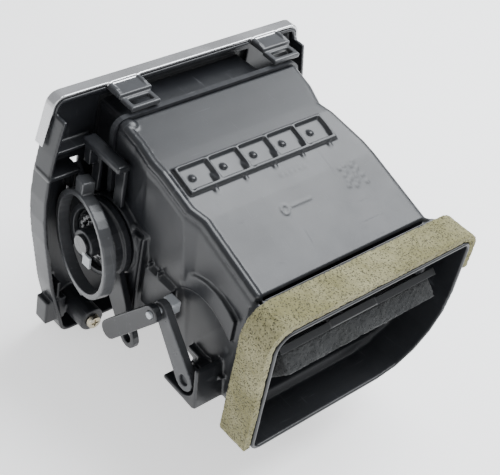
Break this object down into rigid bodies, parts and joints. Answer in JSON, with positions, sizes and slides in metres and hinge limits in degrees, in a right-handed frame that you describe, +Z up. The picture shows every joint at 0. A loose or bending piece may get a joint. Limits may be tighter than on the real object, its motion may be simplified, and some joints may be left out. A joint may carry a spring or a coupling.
{
  "type": "car dashboard air outlet",
  "caption": "Dashboard air outlet with tilting and swinging vanes, a thumbwheel that works a shut-off damper through a link, and a foam-sealed inlet duct.",
  "frame": {"origin": "centre of the whole outlet's footprint at its lowest point, with the face plate upright", "axes": "+X towards the thumbwheel's side, the right-hand side seen from the cabin, +Y rearwards from the face to the inlet, +Z up"},
  "size_m": [0.1778, 0.1661, 0.1605],
  "materials": {
    "black_plastic": "fine moulded grain with a few glossy flats",
    "vane_plastic": "fine moulded grain",
    "grey_plastic": "smooth, slightly greasy",
    "silver_paint": "satin metallic paint on plastic",
    "white_plastic": "smooth natural nylon",
    "screw_steel": "zinc plated",
    "gasket_foam": "open-cell foam, khaki",
    "damper_foam_black": "open-cell foam, black"
  },
  "bodies": {
    "housing": {"face_plate": "black_plastic", "silver_trim": "silver_paint", "grille_frame": "vane_plastic", "vane_box": "black_plastic", "rear_duct": "black_plastic", "inlet_gasket": "gasket_foam", "wheel_cup": "grey_plastic", "wheel_bracket": "black_plastic", "screw_left": "screw_steel", "screw_right": "screw_steel", "vane_bearing_left": "black_plastic", "vane_bearing_right": "black_plastic"},
    "wheel": {"thumbwheel": "black_plastic", "wheel_clip": "white_plastic"},
    "damper": {"damper_axle": "black_plastic", "damper_plate": "vane_plastic", "damper_foam": "damper_foam_black", "damper_lever": "black_plastic", "link_pin": "white_plastic"},
    "rod": {"link_rod": "black_plastic"},
    "horizontal_1": {"vane_horizontal_1": "vane_plastic"},
    "horizontal_2": {"vane_horizontal_2": "vane_plastic"},
    "horizontal_3": {"vane_horizontal_3": "vane_plastic"},
    "horizontal_4": {"vane_horizontal_4": "vane_plastic"},
    "horizontal_5": {"vane_horizontal_5": "vane_plastic"},
    "horizontal_bar": {"horizontal_link_bar": "black_plastic"},
    "vertical_1": {"vane_vertical_1": "vane_plastic"},
    "vertical_2": {"vane_vertical_2": "vane_plastic"},
    "vertical_3": {"vane_vertical_3": "vane_plastic"},
    "vertical_4": {"vane_vertical_4": "vane_plastic"},
    "vertical_5": {"vane_vertical_5": "vane_plastic"},
    "vertical_6": {"vane_vertical_6": "vane_plastic"},
    "vertical_7": {"vane_vertical_7": "vane_plastic"},
    "vertical_bar": {"vertical_link_bar": "black_plastic"},
    "knob": {"control_knob": "black_plastic"}
  },
  "joints": [
    {"name": "thumbwheel_turn", "type": "hinge", "parent": "housing", "child": "wheel", "pos_m": [0.0647, -0.042, 0.087], "axis": [1, 0, 0], "range_deg": [-15.9, 21.7]},
    {"name": "damper_turn", "type": "hinge", "parent": "housing", "child": "damper", "pos_m": [0.0622, 0.039, 0.055], "axis": [1, 0, 0], "range_deg": [-30.5, 22.5]},
    {"name": "link_rod_turn", "type": "hinge", "parent": "damper", "child": "rod", "pos_m": [0.0747, 0.014, 0.083], "axis": [1, 0, 0], "range_deg": [-24.7, 33.6]},
    {"name": "horizontal_1_tilt", "type": "hinge", "parent": "housing", "child": "horizontal_1", "pos_m": [0.0022, -0.065, 0.0638], "axis": [1, 0, 0], "range_deg": [-25, 25]},
    {"name": "horizontal_2_tilt", "type": "hinge", "parent": "housing", "child": "horizontal_2", "pos_m": [0.0022, -0.065, 0.0814], "axis": [1, 0, 0], "range_deg": [-25, 25]},
    {"name": "horizontal_3_tilt", "type": "hinge", "parent": "housing", "child": "horizontal_3", "pos_m": [0.0022, -0.065, 0.099], "axis": [1, 0, 0], "range_deg": [-25, 25]},
    {"name": "horizontal_4_tilt", "type": "hinge", "parent": "housing", "child": "horizontal_4", "pos_m": [0.0022, -0.065, 0.1166], "axis": [1, 0, 0], "range_deg": [-25, 25]},
    {"name": "horizontal_5_tilt", "type": "hinge", "parent": "housing", "child": "horizontal_5", "pos_m": [0.0022, -0.065, 0.1342], "axis": [1, 0, 0], "range_deg": [-25, 25]},
    {"name": "horizontal_bar_turn", "type": "hinge", "parent": "horizontal_3", "child": "horizontal_bar", "pos_m": [-0.0378, -0.059, 0.099], "axis": [1, 0, 0], "range_deg": [-25, 25]},
    {"name": "vertical_1_swing", "type": "hinge", "parent": "housing", "child": "vertical_1", "pos_m": [-0.0353, -0.042, 0.1], "axis": [0, 0, 1], "range_deg": [-30, 30]},
    {"name": "vertical_2_swing", "type": "hinge", "parent": "housing", "child": "vertical_2", "pos_m": [-0.0228, -0.042, 0.1], "axis": [0, 0, 1], "range_deg": [-30, 30]},
    {"name": "vertical_3_swing", "type": "hinge", "parent": "housing", "child": "vertical_3", "pos_m": [-0.0103, -0.042, 0.1], "axis": [0, 0, 1], "range_deg": [-30, 30]},
    {"name": "vertical_4_swing", "type": "hinge", "parent": "housing", "child": "vertical_4", "pos_m": [0.0022, -0.042, 0.1], "axis": [0, 0, 1], "range_deg": [-30, 30]},
    {"name": "vertical_5_swing", "type": "hinge", "parent": "housing", "child": "vertical_5", "pos_m": [0.0147, -0.042, 0.1], "axis": [0, 0, 1], "range_deg": [-30, 30]},
    {"name": "vertical_6_swing", "type": "hinge", "parent": "housing", "child": "vertical_6", "pos_m": [0.0272, -0.042, 0.1], "axis": [0, 0, 1], "range_deg": [-30, 30]},
    {"name": "vertical_7_swing", "type": "hinge", "parent": "housing", "child": "vertical_7", "pos_m": [0.0397, -0.042, 0.1], "axis": [0, 0, 1], "range_deg": [-30, 30]},
    {"name": "vertical_bar_turn", "type": "hinge", "parent": "vertical_4", "child": "vertical_bar", "pos_m": [0.0022, -0.035, 0.0574], "axis": [0, 0, 1], "range_deg": [-30, 30]},
    {"name": "knob_slide", "type": "slide", "parent": "horizontal_3", "child": "knob", "axis": [1, 0, 0], "range_m": [-0.0047, 0.0047]}
  ],
  "couplings": [
    {"joint": "damper_turn", "follows": "thumbwheel_turn", "ratio": -1.384},
    {"joint": "link_rod_turn", "follows": "thumbwheel_turn", "ratio": 1.524},
    {"joint": "horizontal_1_tilt", "follows": "horizontal_3_tilt", "ratio": 1},
    {"joint": "horizontal_2_tilt", "follows": "horizontal_3_tilt", "ratio": 1},
    {"joint": "horizontal_4_tilt", "follows": "horizontal_3_tilt", "ratio": 1},
    {"joint": "horizontal_5_tilt", "follows": "horizontal_3_tilt", "ratio": 1},
    {"joint": "horizontal_bar_turn", "follows": "horizontal_3_tilt", "ratio": -1},
    {"joint": "vertical_1_swing", "follows": "knob_slide", "rad_per_m": 110.23},
    {"joint": "vertical_2_swing", "follows": "knob_slide", "rad_per_m": 110.23},
    {"joint": "vertical_3_swing", "follows": "knob_slide", "rad_per_m": 110.23},
    {"joint": "vertical_5_swing", "follows": "knob_slide", "rad_per_m": 110.23},
    {"joint": "vertical_6_swing", "follows": "knob_slide", "rad_per_m": 110.23},
    {"joint": "vertical_7_swing", "follows": "knob_slide", "rad_per_m": 110.23},
    {"joint": "vertical_bar_turn", "follows": "knob_slide", "rad_per_m": -110.23},
    {"joint": "vertical_4_swing", "follows": "knob_slide", "rad_per_m": 110.23}
  ]
}
